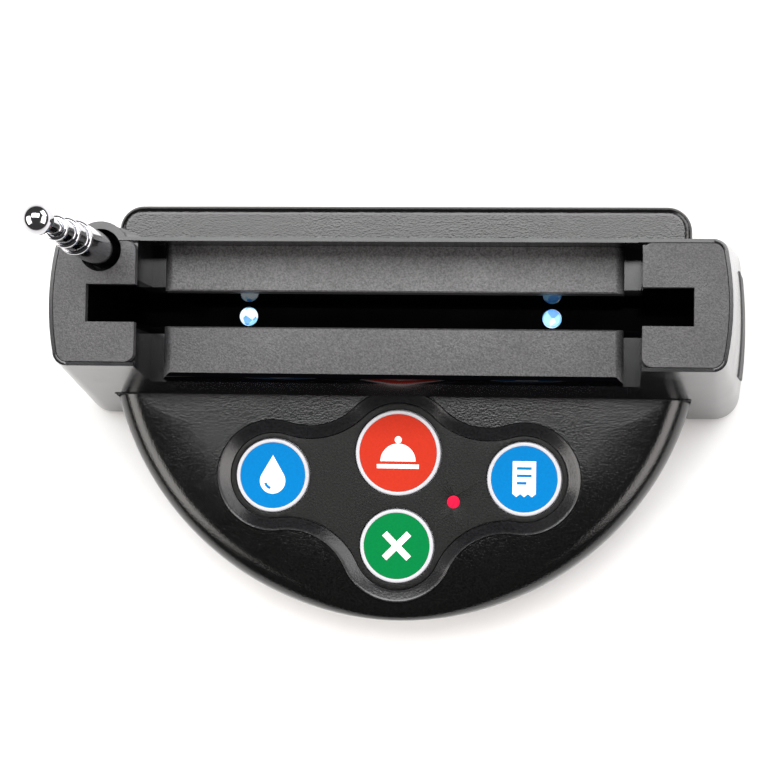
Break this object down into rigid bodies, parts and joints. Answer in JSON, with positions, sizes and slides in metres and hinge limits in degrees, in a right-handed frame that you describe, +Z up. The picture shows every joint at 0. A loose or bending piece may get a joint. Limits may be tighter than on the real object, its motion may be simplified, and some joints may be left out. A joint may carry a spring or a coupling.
{
  "type": "table pager",
  "caption": "Table-top call pager: D-shaped base with round keys in a lobed pocket, an upright lit card slot between capped ends, and a telescopic antenna.",
  "frame": {"origin": "middle of the object's footprint on the table, under the feet", "axes": "+X to the right along the card slot, seen from the keys; +Y to the rear, away from the keys; +Z up"},
  "size_m": [0.1554, 0.0926, 0.111],
  "materials": {
    "housing_gloss": "smooth semi-gloss black",
    "housing_matte": "fine-grained black",
    "liner": "glossy black",
    "pad_rubber": "matt dark grey",
    "key_white": "satin white",
    "label_red": "printed, satin",
    "label_blue": "printed, satin",
    "label_green": "printed, satin",
    "slot_led": "clear, lit",
    "window_red": "translucent red, lit",
    "chrome": "polished",
    "steel": "plated",
    "brass": "plain",
    "board_green": "solder mask",
    "board_blue": "solder mask",
    "chip_black": "moulded",
    "wire_red": "insulation",
    "wire_black": "insulation",
    "cell_wrap": "plain wrap",
    "foot_rubber": "matt"
  },
  "bodies": {
    "root": {"holder_shell": "housing_gloss", "left_end_cap": "housing_matte", "right_end_cap": "housing_matte", "front_rail": "housing_matte", "rear_rail": "housing_matte", "slot_channel": "liner", "slot_leds": "slot_led", "led_board": "board_green", "led_board_screws": "steel", "side_pads": "pad_rubber", "base_cover": "housing_gloss", "key_bezel": "housing_matte", "key_plate": "housing_matte", "base_pan": "housing_gloss", "rubber_feet": "foot_rubber", "battery_box": "chip_black", "batteries": "cell_wrap", "battery_springs": "steel", "battery_contacts": "steel", "main_board": "board_green", "switch_bodies": "chip_black", "controller_chip": "chip_black", "chip_parts": "brass", "radio_board": "board_blue", "radio_shield": "steel", "crystal_can": "steel", "status_led": "key_white", "status_window": "window_red", "antenna_tube": "chrome", "antenna_bushing": "chip_black", "antenna_lug": "brass", "antenna_lead": "wire_red", "led_leads": "wire_red", "battery_leads": "wire_black", "case_screws": "steel", "holder_screws": "steel", "board_screws": "steel"},
    "battery_door": {"battery_door": "housing_gloss"},
    "call_key": {"call_keycap": "key_white", "call_label": "label_red", "call_plunger": "chip_black"},
    "water_key": {"water_keycap": "key_white", "water_label": "label_blue", "water_plunger": "chip_black"},
    "bill_key": {"bill_keycap": "key_white", "bill_label": "label_blue", "bill_plunger": "chip_black"},
    "cancel_key": {"cancel_keycap": "key_white", "cancel_label": "label_green", "cancel_plunger": "chip_black"},
    "antenna_stage_2": {"antenna_section_2": "chrome"},
    "antenna_stage_3": {"antenna_section_3": "chrome"},
    "antenna_stage_4": {"antenna_rod": "chrome", "antenna_ball": "chrome"}
  },
  "joints": [
    {"name": "call_press", "type": "slide", "parent": "root", "child": "call_key", "axis": [0, 0, -1], "range_m": [0, 0.0006], "stiffness_N_per_m": 2500, "springref_m": -0.0002},
    {"name": "water_press", "type": "slide", "parent": "root", "child": "water_key", "axis": [0, 0, -1], "range_m": [0, 0.0006], "stiffness_N_per_m": 2500, "springref_m": -0.0002},
    {"name": "bill_press", "type": "slide", "parent": "root", "child": "bill_key", "axis": [0, 0, -1], "range_m": [0, 0.0006], "stiffness_N_per_m": 2500, "springref_m": -0.0002},
    {"name": "cancel_press", "type": "slide", "parent": "root", "child": "cancel_key", "axis": [0, 0, -1], "range_m": [0, 0.0006], "stiffness_N_per_m": 2500, "springref_m": -0.0002},
    {"name": "antenna_slide_2", "type": "slide", "parent": "root", "child": "antenna_stage_2", "axis": [0, 0, 1], "range_m": [0, 0.042]},
    {"name": "antenna_slide_3", "type": "slide", "parent": "antenna_stage_2", "child": "antenna_stage_3", "axis": [0, 0, 1], "range_m": [0, 0.048]},
    {"name": "antenna_slide_4", "type": "slide", "parent": "antenna_stage_3", "child": "antenna_stage_4", "axis": [0, 0, 1], "range_m": [0, 0.054]},
    {"name": "battery_door_slide", "type": "slide", "parent": "root", "child": "battery_door", "axis": [0, 1, 0], "range_m": [0, 0.04]}
  ]
}
